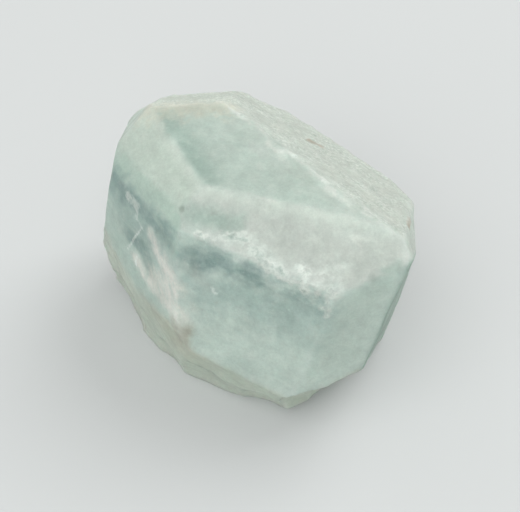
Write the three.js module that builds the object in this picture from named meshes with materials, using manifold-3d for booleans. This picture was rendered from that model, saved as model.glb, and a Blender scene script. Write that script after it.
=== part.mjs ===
// Aquamarine crystal: a short, many-sided beryl prism with a flat end, sloping shoulders and a
// rough, etched back, snapped off its rock so that it stands on the break.
//
// Units are millimetres and +Z is up. The origin is under the middle of the stone, on the
// level patch that it rests on. The stone grew as one piece, so it is one solid.

import * as THREE from 'three';
import { mergeVertices } from 'three/addons/utils/BufferGeometryUtils.js';
import Module from 'manifold-3d';

const wasm = await Module();
wasm.setup();

// ---- Driving dimensions ----

// Every flat face is measured from one point inside the stone, this high above the surface.
const HEART_HEIGHT = 14;

// A face is given by the compass direction it looks in (degrees anticlockwise from +X), by how
// far it leans back from level (0 faces straight up, 90 is upright, more is undercut), and by
// its distance from the heart in millimetres.

// The flat end of the prism.
const END_FACES = [
  { name: 'flat end', looks: -75, leans: 2, reach: 14.2 },
];

// Sloping pyramid faces between the flat end and the sides, from the front left around.
const SHOULDER_FACES = [
  { name: 'left shoulder', looks: -149, leans: 30, reach: 15.8 },
  { name: 'left lower shoulder', looks: -146, leans: 51, reach: 15.7 },
  { name: 'front shoulder', looks: -105, leans: 36, reach: 14.3 },
  { name: 'right shoulder', looks: 0, leans: 66, reach: 18.7 },
  { name: 'back right corner', looks: 26, leans: 60, reach: 17.8 },
  { name: 'rough back shoulder', looks: 39, leans: 35, reach: 13.6 },
  { name: 'back left shoulder', looks: 95, leans: 28, reach: 17.8 },
  { name: 'back left corner', looks: 128, leans: 42, reach: 21.4 },
  { name: 'left end shoulder', looks: 160, leans: 50, reach: 21.3 },
];

// Prism faces, which are the sides. The prism leans a little, so the front ones slope.
const SIDE_FACES = [
  { name: 'left side', looks: -143, leans: 77, reach: 13.7 },
  { name: 'front side', looks: -112, leans: 74, reach: 12.6 },
  { name: 'right front side', looks: -78, leans: 82, reach: 16.8 },
  { name: 'narrow right side', looks: -27, leans: 98, reach: 17.3 },
  { name: 'right end side', looks: -8, leans: 92, reach: 17.35 },
  { name: 'back right side', looks: 50, leans: 88, reach: 16.9 },
  { name: 'back side', looks: 98, leans: 91, reach: 18.1 },
  { name: 'back left side', looks: 144, leans: 86, reach: 22.6 },
  { name: 'left end side', looks: 174, leans: 77, reach: 19.6 },
];

// Broken surfaces that run round the bottom, and the undercut ones below them.
const BREAK_FACES = [
  { name: 'left break', looks: -150, leans: 92, reach: 15.4 },
  { name: 'front left break', looks: -141, leans: 95, reach: 14.6 },
  { name: 'front break', looks: -117, leans: 104, reach: 15.1 },
  { name: 'right front break', looks: -64, leans: 112, reach: 18.5 },
  { name: 'left undercut', looks: -176, leans: 124, reach: 21.9 },
  { name: 'front left undercut', looks: -132, leans: 135, reach: 19.0 },
  { name: 'front undercut', looks: -104, leans: 140, reach: 18.3 },
  { name: 'right front undercut', looks: -52, leans: 140, reach: 18.4 },
  { name: 'right undercut', looks: 10, leans: 128, reach: 20.5 },
  { name: 'back undercut', looks: 85, leans: 132, reach: 21.5 },
  { name: 'back left undercut', looks: 140, leans: 126, reach: 23.0 },
];

// Shell-shaped chips, as a hard crystal breaks: each is the hollow left by a ball that bites
// into the side. looks is its compass direction and up its height above the surface.
const RIM_CHIPS = [
  { looks: 164, up: 5.5, ball: 7, bite: 2.0 },
  { looks: -172, up: 3.0, ball: 9, bite: 0.6 },
  { looks: -146, up: 1.5, ball: 6, bite: 0.9 },
  { looks: -122, up: 1.0, ball: 9, bite: 0.25 },
  { looks: -94, up: 1.0, ball: 5, bite: 0.7 },
  { looks: -72, up: 2.5, ball: 8, bite: 0.9 },
  { looks: -55, up: 2.0, ball: 9, bite: 0.6 },
  { looks: -30, up: 2.0, ball: 8, bite: 1.2 },
  { looks: 2, up: 2.5, ball: 11, bite: 1.6 },
  { looks: 38, up: 2.0, ball: 9, bite: 1.8 },
  { looks: 70, up: 4.0, ball: 13, bite: 1.5 },
  { looks: 104, up: 2.5, ball: 9, bite: 1.7 },
  { looks: 136, up: 3.5, ball: 12, bite: 1.8 },
];

// How finely each ball is divided, so that a hollow shows as a curve.
const BALL_DETAIL = 9;

// Larger than the stone in every direction, for the rough block and for what is cut away.
const BLOCK = 120;

// ---- Helpers ----

const UP = new THREE.Vector3(0, 0, 1);
const HEART = new THREE.Vector3(0, 0, HEART_HEIGHT);

function compass(degrees) {
  const angle = THREE.MathUtils.degToRad(degrees);
  return new THREE.Vector3(Math.cos(angle), Math.sin(angle), 0);
}

function outwards(face) {
  const lean = THREE.MathUtils.degToRad(face.leans);
  const flat = compass(face.looks).multiplyScalar(Math.sin(lean));
  return flat.addScaledVector(UP, Math.cos(lean));
}

function toSolid(geometry) {
  const bare = new THREE.BufferGeometry();
  bare.setAttribute('position', geometry.getAttribute('position').clone());
  bare.setIndex(geometry.getIndex());
  const merged = mergeVertices(bare);
  return new wasm.Manifold(new wasm.Mesh({
    numProp: 3,
    vertProperties: new Float32Array(merged.getAttribute('position').array),
    triVerts: new Uint32Array(merged.getIndex().array),
  }));
}

function toGeometry(solid) {
  const mesh = solid.getMesh();
  const geometry = new THREE.BufferGeometry();
  geometry.setAttribute('position', new THREE.BufferAttribute(mesh.vertProperties, 3));
  geometry.setIndex(new THREE.BufferAttribute(mesh.triVerts, 1));
  return geometry;
}

// Cuts away everything that lies outside one flat face.
function cutFace(stone, face) {
  const waste = new THREE.BoxGeometry(BLOCK, BLOCK, BLOCK);
  waste.translate(0, 0, face.reach + BLOCK / 2);
  waste.applyQuaternion(new THREE.Quaternion().setFromUnitVectors(UP, outwards(face)));
  waste.translate(HEART.x, HEART.y, HEART.z);
  return stone.subtract(toSolid(waste));
}

// How far the faces let the stone reach from its upright axis, in one direction at one height.
function radiusAt(faces, looks, up) {
  const direction = compass(looks);
  let radius = BLOCK;
  for (const face of faces) {
    const normal = outwards(face);
    const towards = normal.dot(direction);
    if (towards > 0) {
      const left = face.reach - normal.z * (up - HEART_HEIGHT);
      radius = Math.min(radius, left / towards);
    }
  }
  return radius;
}

function cutChip(stone, chip, faces) {
  const distance = radiusAt(faces, chip.looks, chip.up) + chip.ball - chip.bite;
  const centre = compass(chip.looks).multiplyScalar(distance).addScaledVector(UP, chip.up);
  const ball = new THREE.IcosahedronGeometry(chip.ball, BALL_DETAIL);
  ball.translate(centre.x, centre.y, centre.z);
  return stone.subtract(toSolid(ball));
}

// ---- The stone ----

function growStone() {
  const faces = [...END_FACES, ...SHOULDER_FACES, ...SIDE_FACES, ...BREAK_FACES];
  const rough = new THREE.BoxGeometry(BLOCK, BLOCK, BLOCK / 2);
  // The bottom of the block is the level patch that the stone rests on.
  rough.translate(0, 0, BLOCK / 4);
  let stone = toSolid(rough);
  for (const face of faces) {
    stone = cutFace(stone, face);
  }
  for (const chip of RIM_CHIPS) {
    stone = cutChip(stone, chip, faces);
  }
  const geometry = toGeometry(stone);
  geometry.computeBoundingBox();
  const middle = geometry.boundingBox.getCenter(new THREE.Vector3());
  geometry.translate(-middle.x, -middle.y, 0);
  return geometry;
}

const beryl = new THREE.MeshStandardMaterial({
  color: 0xb6cdc6,
  roughness: 0.4,
  metalness: 0,
  flatShading: true,
});

const crystal = new THREE.Mesh(growStone(), beryl);
crystal.name = 'crystal';

const part = new THREE.Group();
part.name = 'aquamarine_crystal';
part.add(crystal);

export default part;
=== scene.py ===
# %% [markdown]
# # A milky aquamarine crystal
#
# Aquamarine is the blue-green kind of beryl, a hard glassy mineral that grows as many-sided
# prisms. This one is short and thick. It has a flat end on top, sloping shoulders that are
# frosted by etching, smooth sides, a rough pitted back, and a chipped and stained underside
# where it was snapped off its rock.
#
# The stone grew as one piece, so it is one mesh here. What is sealed inside it, such as a
# sheet of tiny bubbles and a crack, is made as small meshes of its own that ride with it.

# %% Load the frame
import bmesh
import bpy
import math
import numpy as np
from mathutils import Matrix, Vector, noise
from mathutils.bvhtree import BVHTree


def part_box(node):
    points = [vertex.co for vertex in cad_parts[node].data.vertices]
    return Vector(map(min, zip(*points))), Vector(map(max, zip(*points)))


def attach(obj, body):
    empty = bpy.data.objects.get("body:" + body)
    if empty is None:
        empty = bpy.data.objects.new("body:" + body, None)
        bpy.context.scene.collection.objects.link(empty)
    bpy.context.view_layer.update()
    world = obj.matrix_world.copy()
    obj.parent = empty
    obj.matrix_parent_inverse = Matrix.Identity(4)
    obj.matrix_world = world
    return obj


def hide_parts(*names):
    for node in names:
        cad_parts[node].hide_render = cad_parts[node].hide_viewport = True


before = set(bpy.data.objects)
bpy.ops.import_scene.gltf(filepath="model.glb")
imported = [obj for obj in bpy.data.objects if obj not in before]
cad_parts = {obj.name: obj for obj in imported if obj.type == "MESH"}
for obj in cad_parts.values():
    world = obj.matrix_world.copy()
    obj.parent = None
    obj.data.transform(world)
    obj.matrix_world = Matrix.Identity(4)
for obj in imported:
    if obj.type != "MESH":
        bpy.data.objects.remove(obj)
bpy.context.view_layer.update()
MM = 0.001
scene = bpy.context.scene
low, high = (np.array(corner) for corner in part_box("crystal"))
middle = Vector((low + high) / 2)
print("stone, mm:", np.round((high - low) / MM, 1))

# %% [markdown]
# ## Camera
#
# The view looks down at the front of the stone from a little under fifty degrees, close
# enough for the sides to draw together towards the bottom. A camera's turn could be typed as
# three angles, but they would be wrong again whenever it is moved. A camera in Blender looks
# along its own -Z, so its turn is found here from the line between it and its aim.

# %% Place the camera
CAMERA_RISE = math.radians(48)
CAMERA_DISTANCE = 104 * MM
LENS_MM = 58.8
AIM_RIGHT = 0.8 * MM
AIM_DOWN = 1.5 * MM

back = Vector((0, -math.cos(CAMERA_RISE), math.sin(CAMERA_RISE)))
view_up = Vector((0, math.sin(CAMERA_RISE), math.cos(CAMERA_RISE)))
aim = middle + Vector((AIM_RIGHT, 0, 0)) - view_up * AIM_DOWN
camera = bpy.data.objects.new("camera", bpy.data.cameras.new("camera"))
scene.collection.objects.link(camera)
camera.location = aim + back * CAMERA_DISTANCE
camera.rotation_euler = (-back).to_track_quat("-Z", "Y").to_euler()
camera.data.lens = LENS_MM
camera.data.clip_start = 5 * MM
scene.camera = camera
print("camera at, mm:", [round(c / MM, 1) for c in camera.location])

# %% [markdown]
# ## Where the faces are
#
# Every flat face is part of a plane. The directions below are the ones that the solid was
# cut with: `looks` is the compass direction in degrees anticlockwise from +X, and `leans` is
# how far the face leans back from level. The farthest point of the solid in a face's
# direction lies on that face, so the solid itself gives the plane's distance. Two planes
# meet in an edge and three in a corner, and everything on the stone is placed from those.

# %% Name the faces
FACES = {
    "flat end": (-75, 2),
    "left shoulder": (-149, 30),
    "left lower shoulder": (-146, 51),
    "front shoulder": (-105, 36),
    "right shoulder": (0, 66),
    "back right corner": (26, 60),
    "rough back shoulder": (39, 35),
    "back left shoulder": (95, 28),
    "back left corner": (128, 42),
    "left end shoulder": (160, 50),
    "left side": (-143, 77),
    "front side": (-112, 74),
    "right front side": (-78, 82),
    "narrow right side": (-27, 98),
    "right end side": (-8, 92),
    "back right side": (50, 88),
    "back side": (98, 91),
    "back left side": (144, 86),
    "left end side": (174, 77),
    "left break": (-150, 92),
    "front left break": (-141, 95),
    "front break": (-117, 104),
    "right front break": (-64, 112),
    "left undercut": (-176, 124),
    "front left undercut": (-132, 135),
    "front undercut": (-104, 140),
    "right front undercut": (-52, 140),
    "right undercut": (10, 128),
    "back undercut": (85, 132),
    "back left undercut": (140, 126),
}


def direction(looks, leans):
    looks, leans = math.radians(looks), math.radians(leans)
    across = math.sin(leans)
    return np.array([math.cos(looks) * across, math.sin(looks) * across, math.cos(leans)])


def points_of(mesh):
    flat = np.empty(len(mesh.vertices) * 3, np.float32)
    mesh.vertices.foreach_get("co", flat)
    return flat.reshape(-1, 3).astype(float)


face_names = list(FACES)
face_out = np.array([direction(*FACES[name]) for name in face_names])
solid_points = points_of(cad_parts["crystal"].data)
face_reach = (solid_points @ face_out.T).max(axis=0)
print("faces:", len(face_names))

# %% Find the corners
def corner(*names):
    rows = [face_names.index(name) for name in names]
    return np.linalg.solve(face_out[rows], face_reach[rows])


front_left = corner("front shoulder", "front side", "left lower shoulder")
front_right = corner("front shoulder", "front side", "right front side")
front_low = corner("front side", "right front side", "front break")
left_low = corner("left side", "front side", "front left break")
left_high = corner("left lower shoulder", "left side", "left end side")
right_high = corner("front shoulder", "right front side", "narrow right side")
right_low = corner("right front side", "narrow right side", "right front break")
ridge_end = corner("flat end", "left shoulder", "front shoulder")
end_left = corner("flat end", "left shoulder", "left end shoulder")
end_back = corner("flat end", "back left shoulder", "rough back shoulder")
end_right = corner("flat end", "front shoulder", "rough back shoulder")
back_right = corner("rough back shoulder", "back right side", "back right corner")
pit_spot = corner("left shoulder", "left lower shoulder", "front shoulder")
print("front edge, mm:", round(np.linalg.norm(front_right - front_left) / MM, 1))

# %% [markdown]
# ## The skin of the stone
#
# The solid has a few large flat faces, and a flat face has no points in its middle to move.
# Subdividing would only turn its long thin triangles into more of them. A voxel remesh lays
# an even net of small squares over it instead, a quarter of a millimetre apart, and a little
# smoothing wears the edges round, as handling and etching do to a real crystal.

# %% Lay a fine net over the solid
NET_SIZE = 0.25 * MM
WEAR_PASSES = 6

worn = bpy.data.objects.new("worn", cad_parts["crystal"].data.copy())
scene.collection.objects.link(worn)
remesh = worn.modifiers.new("fine net", "REMESH")
remesh.mode = "VOXEL"
remesh.voxel_size = NET_SIZE
wear = worn.modifiers.new("worn edges", "SMOOTH")
wear.factor = 0.5
wear.iterations = WEAR_PASSES
finished = worn.evaluated_get(bpy.context.evaluated_depsgraph_get())
skin = bpy.data.meshes.new_from_object(finished)
bpy.data.objects.remove(worn)
skin.name = "aquamarine"
stone = bpy.data.objects.new("aquamarine", skin)
scene.collection.objects.link(stone)
points = points_of(skin)
normals = np.array([v.normal[:] for v in skin.vertices])
print("net points:", len(points))

# %% [markdown]
# ## Where each surface begins
#
# Each face of the real stone has its own finish. The faces could be picked out by hand, but
# their planes already say where they are: a point on a face lies on that face's plane and
# inside all the others, so the plane that it is nearest to tells which face it is on. Adding
# a little noise to the distances makes the borders wander, as they do where etching ate
# across an edge. The shares are soft, and each point's shares add up to one.

# %% Share the points out between the faces
# Each seed moves the noise by this many lumps, to a stretch that no other seed uses.
SEED_STEP = 17.3


def speckle(where, size, seed, octaves=3):
    """Smooth noise from about -1 to 1 with lumps about size across."""
    shifted = where / size + seed * SEED_STEP
    return np.array([noise.fractal(Vector(p), 0.6, 2.0, octaves) for p in shifted])


def ramp(value, start, end):
    """From 0 at start to 1 at end, easing in and out."""
    share = np.clip((value - start) / (end - start), 0, 1)
    return share * share * (3 - 2 * share)


BORDER = 0.10 * MM
WANDER = 0.10 * MM
# The rough back was etched the most, so its borders wander this many times further.
ROUGH_WANDER = 6.0
inside = face_reach - points @ face_out.T
depth = inside.min(axis=1)
wander = np.stack([speckle(points, 2.6 * MM, 3 + k) for k in range(len(FACES))], axis=1)
wander[:, face_names.index("rough back shoulder")] *= ROUGH_WANDER
pull = -(inside + wander * WANDER) / BORDER
pull -= pull.max(axis=1, keepdims=True)
share = np.exp(pull)
share /= share.sum(axis=1, keepdims=True)


def on(*names):
    """How much of each point lies on these faces."""
    return share[:, [face_names.index(name) for name in names]].sum(axis=1)


print("flat end: %.0f%% of the points" % (100 * on("flat end").mean()))

# %% Gather the faces by finish
ROUGH_FACES = ("rough back shoulder", "back left shoulder", "back left corner",
               "back right corner", "back right side", "back side")
FROSTED_FACES = ("left shoulder", "front shoulder", "left end shoulder", "back left side",
                 "right end side")
broken_faces = [name for name in face_names if "break" in name or "undercut" in name]
half_etched = 0.5 * on("right shoulder")
rough = on(*ROUGH_FACES) + half_etched
frosted = on(*FROSTED_FACES) + half_etched

# Chips are hollows near the bottom, so their points lie well inside every plane.
height = points[:, 2] / MM
chipped = ramp(depth, 0.45 * MM, 0.9 * MM) * ramp(height, 11, 8)
broken = np.clip(on(*broken_faces) + chipped, 0, 1)
print("rough %.0f%%, broken %.0f%% of the points" % (100 * rough.mean(), 100 * broken.mean()))

# %% [markdown]
# ## Brush strokes on the faces
#
# Everything seen in the stone follows its edges: a crumbly white line along the front edge,
# clear teal bands below it, pinkish wisps that fan up the left side. Plain noise would put
# them anywhere, and an image would need unwrapping, so each is laid down like a brush
# stroke. A face's own corners make a grid on it, `across` along one edge and `down` along
# another, both from 0 to 1. A stroke is a route on that grid and a width in millimetres, and
# it fades from its middle to its rim.

# %% Make the brush
FACE_GRIDS = {
    # face: its start corner, the corner across from it, the corner down from it
    "flat end": (end_back, end_right, ridge_end),
    "rough back shoulder": (end_back, end_right, back_right),
    "front shoulder": (front_left, front_right, ridge_end),
    "front side": (front_left, front_right, left_low),
    "left side": (front_left, left_high, left_low),
    "right front side": (front_right, right_high, front_low),
}
fine_wobble = speckle(points, 0.7 * MM, 90)
# How far the rim of a stroke wavers, as a share of its width.
wobble = 0.30 * speckle(points, 2.8 * MM, 91) + 0.12 * fine_wobble


def drawn_out(size, longer, start, end, seed):
    """Noise stretched along the line from start to end."""
    run = (end - start) / np.linalg.norm(end - start)
    squeezed = points - np.outer(points @ run, run) * (1 - 1 / longer)
    return speckle(squeezed, size, seed)


def on_face(face, across, down):
    start, across_end, down_end = FACE_GRIDS[face]
    return start + (across_end - start) * across + (down_end - start) * down


print("faces with a grid:", ", ".join(FACE_GRIDS))

# %% Noise that runs along the growth lines
back_streaks = drawn_out(0.7 * MM, 3.0, end_back, end_right, 31)
end_lines = drawn_out(0.6 * MM, 5.0, ridge_end, end_right, 5)
front_lines = drawn_out(0.7 * MM, 5.0, front_left, front_right, 21)
fan_lines = drawn_out(0.5 * MM, 4.0, left_low, on_face("left side", 0.45, 0.20), 22)
print("growth lines on the flat end: %.2f to %.2f" % (end_lines.min(), end_lines.max()))


# %% Lay a stroke down
def gap_to(where, start, end):
    """How far points are from the line between start and end."""
    run = end - start
    place = np.clip((where - start) @ run / (run @ run), 0, 1)
    return np.linalg.norm(where - start - place[:, None] * run, axis=1)


def stroke(face, width, *route):
    spots = [on_face(face, *step) for step in route]
    gap = np.min([gap_to(points, a, b) for a, b in zip(spots, spots[1:])], axis=0) / MM
    return ramp(gap + width * wobble, width, 0)


def strokes(*several):
    return np.max([stroke(*one) for one in several], axis=0)


def patchy(mask, pattern, least, start, end):
    """The mask, weakened to least of itself where the pattern is below start."""
    return mask * (least + (1 - least) * ramp(pattern, start, end))


def tell_cover(**some_masks):
    for name, mask in some_masks.items():
        print("%s: %.1f%% of the points" % (name, 100 * np.mean(mask > 0.1)))


# %% The crumbly white line on the front edge
flecks = strokes(
    ("front shoulder", 1.0, (0.10, 0.06), (0.20, 0.12)),
    ("front shoulder", 1.8, (0.26, 0.25), (0.38, 0.30), (0.48, 0.18)),
    ("front shoulder", 1.8, (0.46, 0.12), (0.62, 0.02)),
    ("front shoulder", 2.2, (0.62, 0.02), (0.80, 0.00), (0.97, 0.02)),
    ("front shoulder", 2.0, (0.74, 0.14), (0.86, 0.20), (0.92, 0.44)),
    ("front side", 1.6, (0.58, 0.04), (0.80, 0.08), (0.93, 0.06)),
    ("front side", 1.2, (0.94, 0.03), (0.96, 0.20)),
)
flecks = patchy(flecks, speckle(points, 1.3 * MM, 92), 0.50, -0.40, 0.20)
haze = strokes(
    ("front shoulder", 1.6, (0.05, 0.10), (0.30, 0.22), (0.60, 0.14), (0.95, 0.14)),
    ("front shoulder", 1.8, (0.93, 1.12), (1.04, 1.30)),
    ("front side", 2.4, (0.03, 0.34), (0.20, 0.42)),
    ("flat end", 1.9, (0.24, 0.22), (0.40, 0.16)),
)
tell_cover(flecks=flecks, haze=haze)

# %% Clear teal windows below the front edge and on the left side
clearest = strokes(
    ("front side", 3.4, (0.10, 0.20), (0.28, 0.12), (0.48, 0.10)),
    ("left side", 2.8, (0.95, 0.03), (0.50, 0.11), (0.16, 0.12)),
    ("left side", 1.9, (0.72, 0.46), (0.46, 0.50), (0.36, 0.66)),
)
half_clear = 0.5 * stroke("front side", 3.2, (0.48, 0.12), (0.92, 0.14))
teal = np.maximum(clearest, half_clear) * on("front side", "left side", "left lower shoulder")
teal *= 0.80 + 0.35 * front_lines
pale_teal = strokes(
    ("front side", 5.5, (0.10, 0.45), (0.85, 0.32)),
    ("left side", 4.0, (0.90, 0.15), (0.30, 0.40)),
)
clear_patch = strokes(
    ("front shoulder", 2.6, (0.04, 0.35), (0.24, 0.42)),
    ("right front side", 0.8, (0.64, -0.02), (0.80, -0.04)),
)
tell_cover(teal=teal, pale_teal=pale_teal, clear_patch=clear_patch)

# %% Pinkish wisps, the white crack and the stain at the low corner
wisps = strokes(
    ("left side", 1.9, (0.37, 0.28), (0.24, 0.43), (0.08, 0.53), (0.01, 0.64)),
    ("left side", 2.8, (0.16, 0.46), (0.02, 0.58)),
    ("left side", 3.6, (0.30, 0.68), (0.08, 0.72), (0.02, 0.82)),
    ("left side", 1.8, (0.58, 0.66), (0.42, 0.78), (0.16, 0.84), (0.02, 0.80)),
)
wisps = patchy(wisps, fan_lines, 0.58, -0.45, 0.35)
crack = strokes(
    ("left side", 1.30, (0.71, 0.09), (0.62, 0.12)),
    ("left side", 0.50, (0.67, 0.11), (0.60, 0.18), (0.61, 0.23), (0.55, 0.27), (0.51, 0.29)),
    ("left side", 0.30, (0.52, 0.28), (0.64, 0.48), (0.74, 0.65)),
    ("left side", 0.38, (0.57, 0.60), (0.60, 0.68), (0.57, 0.75)),
    ("front side", 0.60, (0.235, 0.42), (0.255, 0.46)),
)
crack = patchy(crack, fine_wobble, 0.45, -0.40, 0.20)
scar = stroke("front side", 1.9, (0.00, 0.94), (0.09, 0.99), (0.05, 1.10))
tell_cover(wisps=wisps, crack=crack, scar=scar)

# %% Stain, streaks and specks on the flat end and the rough back
stain = ramp(gap_to(points, end_left, end_back) / MM + 1.2 * fine_wobble, 4.6, 0.0)
end_streaks = strokes(
    ("flat end", 0.8, (0.05, -0.02), (0.18, 0.02)),
    ("flat end", 1.1, (0.33, 0.05), (0.42, 0.12)),
    ("flat end", 1.0, (0.47, -0.02), (0.60, -0.01), (0.69, -0.02)),
    ("flat end", 1.0, (0.70, 0.07), (0.80, 0.05), (0.93, 0.00)),
    ("front shoulder", 1.3, (0.94, 1.10), (1.03, 1.28)),
    ("rough back shoulder", 0.7, (0.84, 0.06), (0.99, 0.05)),
)
end_streaks = patchy(end_streaks, back_streaks, 0.45, -0.30, 0.30)
end_haze = strokes(
    ("flat end", 4.6, (0.02, 0.00), (0.30, 0.02), (0.60, 0.00), (0.98, -0.02)),
    ("flat end", 3.0, (0.32, 0.14), (0.52, 0.10), (0.80, 0.06)),
)
rust = strokes(
    ("rough back shoulder", 1.0, (-0.02, 0.52), (0.00, 0.57)),
    ("rough back shoulder", 0.8, (0.70, 0.45), (0.84, 0.30)),
)
smudge = stroke("right front side", 0.9, (0.50, 0.00), (0.70, -0.02), (0.88, -0.03))
pit = ramp(np.linalg.norm(points - pit_spot, axis=1) / MM, 0.7, 0.15)
tell_cover(stain=stain, end_streaks=end_streaks, end_haze=end_haze, rust=rust, pit=pit)

# %% [markdown]
# ## Relief
#
# Etching leaves pits on the rough back, and growth leaves faint lines on the flat end. A
# break in beryl is shell-shaped, with rings of low ripples and small steps. Bump in the
# material could draw all of it, but it would leave the outline smooth, so the net itself is
# moved. Only what is finer than the net is left to the bump.

# %% Work out the relief, in millimetres
SWELL = 0.13
ETCHED_LUMPS = 0.12
ETCHED_STREAKS = 0.08
GROWTH_LINES = 0.02
CRUMBS = 0.10
PIT_DEPTH = 0.14
BREAK_STEPS = 0.13
BREAK_RIPPLES = 0.06


def ridges(where, size, seed):
    return 1 - 2 * np.abs(speckle(where, size, seed, 2))


steps = np.round(2 * speckle(points, 4.0 * MM, 10, 2)) / 2
lift = SWELL * speckle(points, 5.0 * MM, 1, 2)
lift += rough * (ETCHED_LUMPS * speckle(points, 2.4 * MM, 7) + ETCHED_STREAKS * back_streaks)
lift += on("flat end") * GROWTH_LINES * end_lines
lift += flecks * CRUMBS * speckle(points, 0.7 * MM, 9) - PIT_DEPTH * pit
lift += broken * (BREAK_STEPS * steps + BREAK_RIPPLES * ridges(points, 2.4 * MM, 11))
print("relief, mm: %.2f to %.2f" % (lift.min(), lift.max()))

# %% Move the net
# Below FOOT the relief dies out, so that the stone still rests flat.
FOOT = 1.2
REST_GAP = 0.02 * MM
lift *= ramp(height, 0.0, FOOT)
moved = points + normals * (lift * MM)[:, None]
moved[:, 2] = np.maximum(moved[:, 2], REST_GAP)
skin.vertices.foreach_set("co", moved.astype(np.float32).ravel())
skin.update()
skin.polygons.foreach_set("use_smooth", [True] * len(skin.polygons))
print("lowest point, mm: %.2f" % (moved[:, 2].min() / MM))

# %% [markdown]
# ## Colour by face
#
# Beryl has hardly any colour on its surface: frosted faces scatter light and look pale grey,
# and smooth ones let the eye into the blue-green body. Each face could be a material of its
# own, but then every border would be a hard line. So each face has the tint that its finish
# gives, and the soft shares blend the tints across the borders; only the narrow right side
# is tinted darker, as a painted dark reflection. Soft washes over them then follow the clear
# and cloudy parts of the body. Three washes are painted light and shade instead: a painted
# highlight on the shoulders along the ridges of the flat end, painted shade on the flat end
# along its left ridge, and a painted dark reflection along the edge of the narrow right side.

# %% Turn a hex colour into light
def linear(code):
    """An sRGB hex colour as linear light, with alpha 1."""
    parts = [int(code[k:k + 2], 16) / 255 for k in (1, 3, 5)]
    return tuple([((c + 0.055) / 1.055) ** 2.4 if c > 0.04045 else c / 12.92 for c in parts] + [1.0])


print("middle grey as light:", [round(c, 3) for c in linear("#808080")])

# %% Tint the faces
TINTS = {
    "flat end": "#CFDBD3",
    "left shoulder": "#CAD5CB",
    "left lower shoulder": "#CBDCD2",
    "front shoulder": "#CBD0CA",
    "right shoulder": "#D2D9D1",
    "back right corner": "#CAD2C9",
    "rough back shoulder": "#CBD0C7",
    "back left shoulder": "#CAD0C5",
    "back left corner": "#C8D0C5",
    "left end shoulder": "#CEDAD0",
    "left side": "#C8D8D0",
    "front side": "#DBE6DF",
    "right front side": "#D6E2DB",
    # Darker than its finish alone: a painted dark reflection on this steep face.
    "narrow right side": "#B1C6BB",
    "right end side": "#C2CEC3",
    "back right side": "#C8D1C6",
    "back side": "#C4CFC5",
    "back left side": "#C4CFC5",
    "left end side": "#BCCFC4",
}
BREAK_TINT = "#D6DDD1"
tint = share @ np.array([linear(TINTS.get(name, BREAK_TINT)) for name in face_names])
print("mean tint:", np.round(tint.mean(axis=0), 2))

# %% Where the washes go
gap_right_ridge = gap_to(points, ridge_end, end_right) / MM
gap_left_ridge = gap_to(points, ridge_end, end_left) / MM
gap_right_edge = gap_to(points, right_high, right_low) / MM
gap_low_corner = np.linalg.norm(points - left_low, axis=1) / MM

# Painted highlight: the front and left shoulders are painted lighter along their ridges with the flat end.
ridge_glow = np.maximum(
    ramp(gap_right_ridge, 2.4, 0.2) * on("front shoulder"),
    ramp(gap_left_ridge, 2.0, 0.3) * on("left shoulder"))
# Painted shade: the flat end is painted darker along its left ridge.
painted_shade_under_ridge = ramp(gap_left_ridge, 3.4, 0.4) * on("flat end")
# Painted dark reflection: the narrow right side is painted darker along its edge with the right front side.
dark_strip = ramp(gap_right_edge, 2.4, 0.6) * on("narrow right side")
dark_smudge = smudge * (0.6 + 0.8 * fine_wobble)
pale_foot = broken * ramp(height, 5, 1)
pale_low_sides = ramp(height, 13, 5) * on("front side", "right front side", "left side")
beige_corner = broken * ramp(gap_low_corner, 9.0, 2.0)
end_growth = on("flat end") * (0.5 + 0.5 * end_lines)
side_growth = on("front side", "left side") * (0.5 + 0.5 * front_lines)
back_grain = rough * (0.5 - 0.5 * back_streaks)
tell_cover(ridge_glow=ridge_glow, dark_strip=dark_strip, beige_corner=beige_corner)

# %% Wash them over the tints, one after the other
WASHES = (
    # where, strength, colour
    # Painted highlight on the shoulders along the ridges of the flat end.
    (ridge_glow, 0.75, "#D9E0D8"),
    # Painted shade on the flat end along its left ridge.
    (painted_shade_under_ridge, 0.80, "#A3BAB0"),
    (pale_teal, 0.55, "#AFC6C2"),
    (clear_patch, 0.60, "#A6C0B5"),
    # Painted dark reflection along the edge of the narrow right side.
    (dark_strip, 0.70, "#84A396"),
    (end_haze, 0.65, "#D2DAD2"),
    (stain, 0.50, "#D6D9CE"),
    (dark_smudge, 0.60, "#93A59B"),
    (pale_foot, 0.50, "#DCE2D6"),
    (pale_low_sides, 0.50, "#D8E5DD"),
    (beige_corner, 0.70, "#CAC3B3"),
    (end_growth, 0.35, "#AFC4BA"),
    (side_growth, 0.25, "#A9C2BD"),
    (back_grain, 0.30, "#B9C4B8"),
)
for where, strength, code in WASHES:
    tint += (np.array(linear(code)) - tint) * (np.clip(where, 0, 1) * strength)[:, None]
print("mean tint after the washes:", np.round(tint.mean(axis=0), 2))
colours = skin.color_attributes.new("face tint", "FLOAT_COLOR", "POINT")
colours.data.foreach_set("color", tint.astype(np.float32).ravel())

# %% How clear the body is behind each point
CLEAR_BODY = 0.52
CLEARER = ((teal, 0.10), (pale_teal, 0.04), (clear_patch, 0.06))
MILKIER = ((rough, 0.14), (frosted, 0.08), (haze, 0.03), (flecks, 0.08), (wisps, 0.18))
clearness = CLEAR_BODY + sum(mask * amount for mask, amount in CLEARER)
clearness -= sum(mask * amount for mask, amount in MILKIER)
clearness = np.clip(clearness, 0.10, 0.80)
print("clearness: %.2f to %.2f" % (clearness.min(), clearness.max()))

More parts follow.
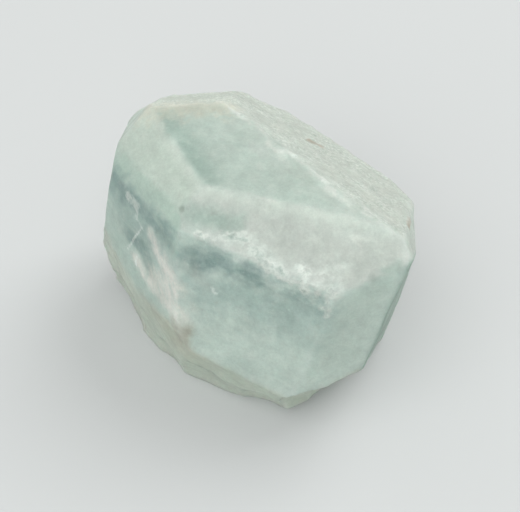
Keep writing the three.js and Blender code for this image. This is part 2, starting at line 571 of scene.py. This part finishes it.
# %% Keep the masks on the mesh for the material
# Etching is uneven, so the grain of the rough back comes and goes.
patchy_rough = rough * (0.96 + 0.26 * speckle(points, 2.6 * MM, 34))
stone_masks = {
    "rough": patchy_rough, "frosted": frosted, "broken": broken, "flecks": flecks, "haze": haze,
    "teal": teal, "wisps": wisps, "crack": crack, "scar": scar, "stain": stain,
    "end streaks": end_streaks, "rust": rust, "pit": pit, "clearness": clearness,
}
for name, values in stone_masks.items():
    mask = skin.attributes.new(name, "FLOAT", "POINT")
    mask.data.foreach_set("value", np.clip(values, 0, 1).astype(np.float32))
print("masks:", ", ".join(stone_masks))

# %% [markdown]
# ## The beryl material
#
# Beryl is a glass-clear solid with an index of refraction of 1.577. This stone is milky: so
# many tiny bubbles hang in it that light goes in, scatters and comes out pale. A cloud of
# scattering volume could show that, but it is slow and grainy, and exported files leave it
# out. So plain transmission lets light through, plain volume absorption takes out red as it
# travels, and subsurface scattering gives the milk its glow.

# %% Start the beryl material
def add_node(tree, kind, settings=None, inputs=None):
    """Adds a node, sets its properties, and sets or links its inputs."""
    node = tree.nodes.new(kind)
    for name, value in (settings or {}).items():
        setattr(node, name, value)
    for name, value in (inputs or {}).items():
        if isinstance(value, bpy.types.NodeSocket):
            tree.links.new(value, node.inputs[name])
        else:
            node.inputs[name].default_value = value
    return node


beryl = bpy.data.materials.new("milky beryl, grown and etched")
beryl.use_nodes = True
tree = beryl.node_tree
tree.nodes.clear()
coords = add_node(tree, "ShaderNodeTexCoord").outputs["Object"]
base = add_node(tree, "ShaderNodeVertexColor", {"layer_name": "face tint"}).outputs["Color"]
masks = {
    name: add_node(tree, "ShaderNodeAttribute", {"attribute_name": name}).outputs["Fac"]
    for name in stone_masks
}
print("nodes that read the mesh:", len(tree.nodes))

# %% [markdown]
# ### Marks in the colour
#
# A mark on a real crystal is crumbly: solid in its middle and broken up into specks at its
# rim. Painting the soft mask straight on would look sprayed, so each mark also has a noise
# of its own. Where mask and noise add up to more than the start value the mark begins to
# show, and at the full value it hides what is under it.

# %% Lay the marks over the tint
MARKS = (
    # mask, lump size in mm, start, full, colour
    ("teal", 1.8, 0.68, 1.70, "#86A5A6"),
    ("teal", 0.32, 1.30, 1.62, "#BDCDCA"),
    ("broken", 2.2, 1.42, 2.00, "#C0C7B7"),
    ("scar", 1.2, 0.60, 1.40, "#BEBBAF"),
    ("haze", 1.6, 0.85, 2.10, "#CCD4CE"),
    ("wisps", 1.1, 0.50, 1.28, "#D5D9D2"),
    ("wisps", 0.60, 1.00, 1.70, "#E2E1DA"),
    ("stain", 0.6, 0.75, 1.60, "#D8D8CA"),
    ("end streaks", 0.5, 0.78, 1.45, "#DEE3DC"),
    ("rough", 0.30, 1.42, 1.72, "#E6EBE4"),
    ("rough", 0.42, 1.46, 1.80, "#A6B3A6"),
    ("rust", 0.6, 0.80, 1.70, "#AE9B89"),
    ("pit", 0.5, 0.90, 1.70, "#A3B0A5"),
    ("flecks", 1.1, 0.80, 1.70, "#CDD4CE"),
    ("flecks", 0.70, 0.94, 1.46, "#D7DDD7"),
    ("flecks", 0.40, 1.14, 1.54, "#E3E8E2"),
    ("flecks", 0.80, 1.34, 1.68, "#A6B5AE"),
    ("crack", 0.35, 0.72, 1.20, "#E8EFEB"),
)
colour = base
for mask, lump, start, full, code in MARKS:
    lumps = add_node(tree, "ShaderNodeTexNoise", {}, {
        "Vector": coords, "Scale": 1 / (lump * MM), "Detail": 4.0, "Roughness": 0.6}).outputs[0]
    total = add_node(tree, "ShaderNodeMath", {"operation": "ADD"}, {0: masks[mask], 1: lumps}).outputs[0]
    amount = add_node(tree, "ShaderNodeMapRange", {}, {
        "Value": total, "From Min": start, "From Max": full}).outputs[0]
    colour = add_node(tree, "ShaderNodeMix", {"data_type": "RGBA"}, {
        0: amount, 6: colour, 7: linear(code)}).outputs[2]
print("marks in the colour:", len(MARKS))

# %% Milky clouding, broad and fine
CLOUDS = (
    # lump size in mm, darkest, lightest
    (3.4, 0.92, 1.07),
    (1.1, 0.92, 1.07),
    (0.35, 0.94, 1.06),
    (0.17, 0.95, 1.05),
)
for lump, darkest, lightest in CLOUDS:
    clouding = add_node(tree, "ShaderNodeTexNoise", {}, {
        "Vector": coords, "Scale": 1 / (lump * MM), "Detail": 5.0, "Roughness": 0.55}).outputs[0]
    shade = add_node(tree, "ShaderNodeMapRange", {}, {
        "Value": clouding, "From Min": 0.3, "From Max": 0.7,
        "To Min": darkest, "To Max": lightest}).outputs[0]
    colour = add_node(tree, "ShaderNodeVectorMath", {"operation": "SCALE"}, {0: colour, 3: shade}).outputs[0]
print("layers of clouding:", len(CLOUDS))

# %% [markdown]
# ### Roughness and bump
#
# A growth face of beryl would shine like glass when fresh. This stone is dull all over from
# handling and etching, so even its smooth faces start at a middling roughness. The clear
# windows are a little glossier, and etched and broken places are rougher. The pits that
# are too fine for the net are bump, strongest on the rough back and in the white flecks.

# %% Roughness
SMOOTH_FACE = 0.50
EXTRA_ROUGHNESS = {
    "crack": 0.10, "teal": -0.18, "frosted": 0.12, "rough": 0.20, "flecks": 0.25, "broken": 0.08,
}
gloss = SMOOTH_FACE
for mask, extra in EXTRA_ROUGHNESS.items():
    gloss = add_node(tree, "ShaderNodeMath", {"operation": "MULTIPLY_ADD"}, {
        0: masks[mask], 1: extra, 2: gloss}).outputs[0]
print("roughness of the clearest window: %.2f" % (SMOOTH_FACE + EXTRA_ROUGHNESS["teal"]))

# %% Bump for the finest pits
SMOOTH_FACE_BUMP = 0.12
EXTRA_BUMP = {"rough": 0.7, "flecks": 0.5}
FINEST_PIT = 0.34 * MM
FINEST_PIT_DEPTH = 0.12 * MM
pits = add_node(tree, "ShaderNodeTexNoise", {}, {
    "Vector": coords, "Scale": 1 / FINEST_PIT, "Detail": 3.0, "Roughness": 0.65}).outputs[0]
pit_strength = SMOOTH_FACE_BUMP
for mask, extra in EXTRA_BUMP.items():
    pit_strength = add_node(tree, "ShaderNodeMath", {"operation": "MULTIPLY_ADD"}, {
        0: masks[mask], 1: extra, 2: pit_strength}).outputs[0]
bump = add_node(tree, "ShaderNodeBump", {}, {
    "Strength": pit_strength, "Distance": FINEST_PIT_DEPTH, "Height": pits}).outputs[0]
print("pits per mm: %.1f" % (MM / FINEST_PIT))

# %% Join surface and body
BERYL_IOR = 1.577
GLOW_SHARE = 0.8
GLOW_DEPTH = 3 * MM
# Red dies out first in blue-green beryl, so green and blue light reach a little further.
GLOW_REACH = (1.0, 1.25, 1.2)
BODY_COLOUR = "#AAD8CA"
BODY_DENSITY = 32.0
surface = add_node(tree, "ShaderNodeBsdfPrincipled", {}, {
    "Base Color": colour, "Roughness": gloss, "Normal": bump, "IOR": BERYL_IOR,
    "Transmission Weight": masks["clearness"], "Subsurface Weight": GLOW_SHARE,
    "Subsurface Radius": GLOW_REACH, "Subsurface Scale": GLOW_DEPTH})
body = add_node(tree, "ShaderNodeVolumeAbsorption", {}, {
    "Color": linear(BODY_COLOUR), "Density": BODY_DENSITY})
add_node(tree, "ShaderNodeOutputMaterial", {}, {
    "Surface": surface.outputs[0], "Volume": body.outputs[0]})
skin.materials.clear()
skin.materials.append(beryl)
print("nodes in the beryl material:", len(tree.nodes))

# %% Hand the stone to the frame
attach(stone, "root")
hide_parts("crystal")
print("stone triangles:", sum(len(face.vertices) - 2 for face in skin.polygons))

# %% [markdown]
# ## What is sealed inside
#
# When a crack in a growing crystal heals, it traps its fluid as a sheet of tiny flattened
# bubbles, which is called a veil. Particles or instances would scatter them with less
# memory, but exported files leave those out. So each bubble here is a small closed ball,
# squashed flat along its sheet, and a whole veil is one joined mesh. Long thin bubbles make
# the wisps, and flat flakes make the crack.

# %% Make one small ball
rng = np.random.default_rng(7)
ball_maker = bmesh.new()
bmesh.ops.create_icosphere(ball_maker, subdivisions=2, radius=1.0)
ball_points = np.array([v.co[:] for v in ball_maker.verts])
ball_faces = np.array([[v.index for v in f.verts] for f in ball_maker.faces])
ball_maker.free()
print("one ball: %d points, %d triangles" % (len(ball_points), len(ball_faces)))


# %% Squash it to a bubble
def unit(vector):
    return vector / np.linalg.norm(vector)


def squashed_ball(centre, run, facing, length, width, thick):
    """A ball stretched to length along run, to width across it, and to thick along facing."""
    run = unit(run - facing * (run @ facing))
    axes = np.stack([run * length, np.cross(facing, run) * width, facing * thick])
    return centre + ball_points @ axes / 2


# %% Keep every bubble under the skin
COVER = 0.12 * MM
skin_tree = BVHTree.FromPolygons(moved.tolist(), [face.vertices[:] for face in skin.polygons])
print("bubbles keep %.2f mm under the skin" % (COVER / MM))


def sealed(centre, size):
    """Whether a bubble lies wholly under the finished skin."""
    nearest, outwards, _, gap = skin_tree.find_nearest(Vector(centre))
    return gap > COVER + size / 2 and (Vector(centre) - nearest).dot(outwards) < 0


# %% Join many bubbles into one piece
def join_balls(name, balls, material):
    mesh = bpy.data.meshes.new(name)
    faces = np.concatenate([ball_faces + k * len(ball_points) for k in range(len(balls))])
    mesh.from_pydata(np.concatenate(balls).tolist(), [], faces.tolist())
    mesh.polygons.foreach_set("use_smooth", [True] * len(mesh.polygons))
    mesh.materials.append(material)
    piece = bpy.data.objects.new(name, mesh)
    scene.collection.objects.link(piece)
    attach(piece, "root")
    print("%s: %d bubbles, %d triangles" % (name, len(balls), len(faces)))


# %% [markdown]
# ### Trapped fluid
#
# The fluid in a bubble bends light far less than beryl does, so a bubble's wall throws the
# light back, and a crowd of tiny bubbles looks white. Clear balls of their true index would
# need many bounces of light to show that, so they are given the white that they add up to,
# a little warmer in some patches than in others.

# %% The material of trapped fluid
TRAPPED_COOL = "#E6EEEA"
TRAPPED_WARM = "#FBFBF6"
trapped = bpy.data.materials.new("trapped fluid, seen as white specks")
trapped.use_nodes = True
trapped_tree = trapped.node_tree
trapped_tree.nodes.clear()
trapped_coords = add_node(trapped_tree, "ShaderNodeTexCoord").outputs["Object"]
patches = add_node(trapped_tree, "ShaderNodeTexNoise", {}, {
    "Vector": trapped_coords, "Scale": 1 / (1.5 * MM), "Detail": 2.0}).outputs[0]
trapped_colour = add_node(trapped_tree, "ShaderNodeMix", {"data_type": "RGBA"}, {
    0: patches, 6: linear(TRAPPED_COOL), 7: linear(TRAPPED_WARM)}).outputs[2]
trapped_surface = add_node(trapped_tree, "ShaderNodeBsdfPrincipled", {}, {
    "Base Color": trapped_colour, "Roughness": 0.35, "Subsurface Weight": 0.3,
    "Subsurface Radius": (1.0, 1.0, 1.0), "Subsurface Scale": 0.5 * MM})
add_node(trapped_tree, "ShaderNodeOutputMaterial", {}, {"Surface": trapped_surface.outputs[0]})
print("nodes in the trapped fluid:", len(trapped_tree.nodes))

# %% A veil that hangs from the front edge
VEIL_BUBBLES = 700
VEIL_DEPTH = 0.6 * MM
VEIL_BEND = 1.2 * MM
front_out = direction(*FACES["front side"])
top_out = direction(*FACES["front shoulder"])
edge_run = unit(front_right - front_left)
inwards = unit(-front_out - top_out)
veil_facing = unit(np.cross(edge_run, inwards))
veil = []
while len(veil) < VEIL_BUBBLES:
    place = rng.uniform(0.10, 1.02)
    far_in = rng.exponential(VEIL_DEPTH) + 0.2 * MM
    bend = VEIL_BEND * math.sin(place * 7 + far_in / MM)
    spot = front_left + (front_right - front_left) * place + inwards * far_in + veil_facing * bend
    size = rng.uniform(0.12, 0.50) * MM
    if sealed(spot, size):
        veil.append(squashed_ball(spot, edge_run, veil_facing, size * 1.6, size, size * 0.4))
join_balls("front_veil", veil, trapped)

# %% Fine bubbles in the clear window below the edge
WINDOW_BUBBLES = 420
specks = []
while len(specks) < WINDOW_BUBBLES:
    spot = on_face("front side", rng.uniform(0.04, 0.95), rng.uniform(0.05, 0.62))
    spot = spot - front_out * rng.uniform(0.15, 0.7) * MM
    size = rng.uniform(0.10, 0.30) * MM
    if sealed(spot, size):
        specks.append(squashed_ball(spot, edge_run, front_out, size * 2.0, size, size * 0.5))
join_balls("window_bubbles", specks, trapped)

# %% Wisps of long bubbles that fan out under the left side
WISP_BUBBLES = 300
left_out = direction(*FACES["left side"])
wisp_root = on_face("left side", 0.02, 0.90)
filaments = []
while len(filaments) < WISP_BUBBLES:
    across, down = rng.uniform(0.02, 0.45), rng.uniform(0.30, 0.88)
    outside_fan = across > 0.08 + 0.55 * (0.95 - down)
    if outside_fan:
        continue
    spot = on_face("left side", across, down) - left_out * rng.uniform(0.15, 0.5) * MM
    if sealed(spot, 0.15 * MM):
        run = unit(wisp_root - spot + rng.normal(0, 0.6 * MM, 3))
        length = rng.uniform(0.4, 1.6) * MM
        filaments.append(squashed_ball(spot, run, left_out, length, 0.22 * MM, 0.10 * MM))
join_balls("left_wisps", filaments, trapped)

# %% A feather crack of thin flakes behind the left side
CRACK_ROUTE = ((0.78, 0.10), (0.70, 0.20), (0.64, 0.24), (0.58, 0.33), (0.66, 0.55), (0.76, 0.72))
FLAKES_PER_STRETCH = 9
flakes = []
for start, end in zip(CRACK_ROUTE, CRACK_ROUTE[1:]):
    near, far = on_face("left side", *start), on_face("left side", *end)
    for step in np.linspace(0, 1, FLAKES_PER_STRETCH):
        spot = near + (far - near) * step - left_out * rng.uniform(0.28, 0.50) * MM
        facing = unit(left_out + rng.normal(0, 0.35, 3))
        if sealed(spot, 0.28 * MM):
            flakes.append(squashed_ball(spot, far - near, facing, 0.8 * MM, 0.35 * MM, 0.03 * MM))
join_balls("feather_crack", flakes, trapped)

# %% Fine needles under the flat end, along the rough back
NEEDLES = 220
end_out = direction(*FACES["flat end"])
back_run = unit(end_right - end_back)
needles = []
while len(needles) < NEEDLES:
    spot = on_face("flat end", rng.uniform(0.02, 0.95), rng.exponential(0.09) + 0.02)
    spot = spot - end_out * rng.uniform(0.15, 0.6) * MM
    if sealed(spot, 0.1 * MM):
        run = back_run + rng.normal(0, 0.25, 3)
        needles.append(squashed_ball(spot, run, end_out, rng.uniform(0.3, 1.1) * MM, 0.12 * MM, 0.07 * MM))
join_balls("end_needles", needles, trapped)

# %% [markdown]
# ## Floor and light
#
# The stone stands on a wide sheet of plain pale paper under soft studio light. A small lamp
# would put hard glints on the faces and a hard shadow on the paper, so both lamps are large
# soft panels. One is high at the back right and lights the rough back. The other is wider,
# high at the front left, and lifts the sides. An even pale sky fills the rest.

# %% Floor
FLOOR_HALF = 1.5
floor_mesh = bpy.data.meshes.new("floor")
floor_mesh.from_pydata(
    [(-FLOOR_HALF, -FLOOR_HALF, 0), (FLOOR_HALF, -FLOOR_HALF, 0),
     (FLOOR_HALF, FLOOR_HALF, 0), (-FLOOR_HALF, FLOOR_HALF, 0)], [], [(0, 1, 2, 3)])
floor = bpy.data.objects.new("floor", floor_mesh)
scene.collection.objects.link(floor)
paper = bpy.data.materials.new("plain pale paper")
paper.use_nodes = True
paper.node_tree.nodes["Principled BSDF"].inputs["Base Color"].default_value = linear("#B4B6B6")
paper.node_tree.nodes["Principled BSDF"].inputs["Roughness"].default_value = 0.9
floor_mesh.materials.append(paper)
print("floor, m:", 2 * FLOOR_HALF)

# %% Lamps
LAMPS = (
    # name, place in mm, size in mm, watts
    ("back right window", (840, 640, 1320), 1040, 16.0),
    ("front fill", (-500, -1000, 1300), 2200, 29.0),
)
for name, place, size, watts in LAMPS:
    lamp = bpy.data.objects.new(name, bpy.data.lights.new(name, "AREA"))
    scene.collection.objects.link(lamp)
    lamp.location = Vector(place) * MM
    lamp.rotation_euler = (lamp.location - middle).to_track_quat("Z", "Y").to_euler()
    lamp.data.size = size * MM
    lamp.data.energy = watts
    print("%s: %.1f W from %.2f m" % (name, watts, (lamp.location - middle).length))

# %% Sky
sky = bpy.data.worlds.new("even pale sky")
scene.world = sky
sky.use_nodes = True
sky.node_tree.nodes["Background"].inputs["Color"].default_value = linear("#E8EAE8")
sky.node_tree.nodes["Background"].inputs["Strength"].default_value = 0.84
scene.view_settings.view_transform = "Standard"
print("sky strength: %.2f" % sky.node_tree.nodes["Background"].inputs["Strength"].default_value)
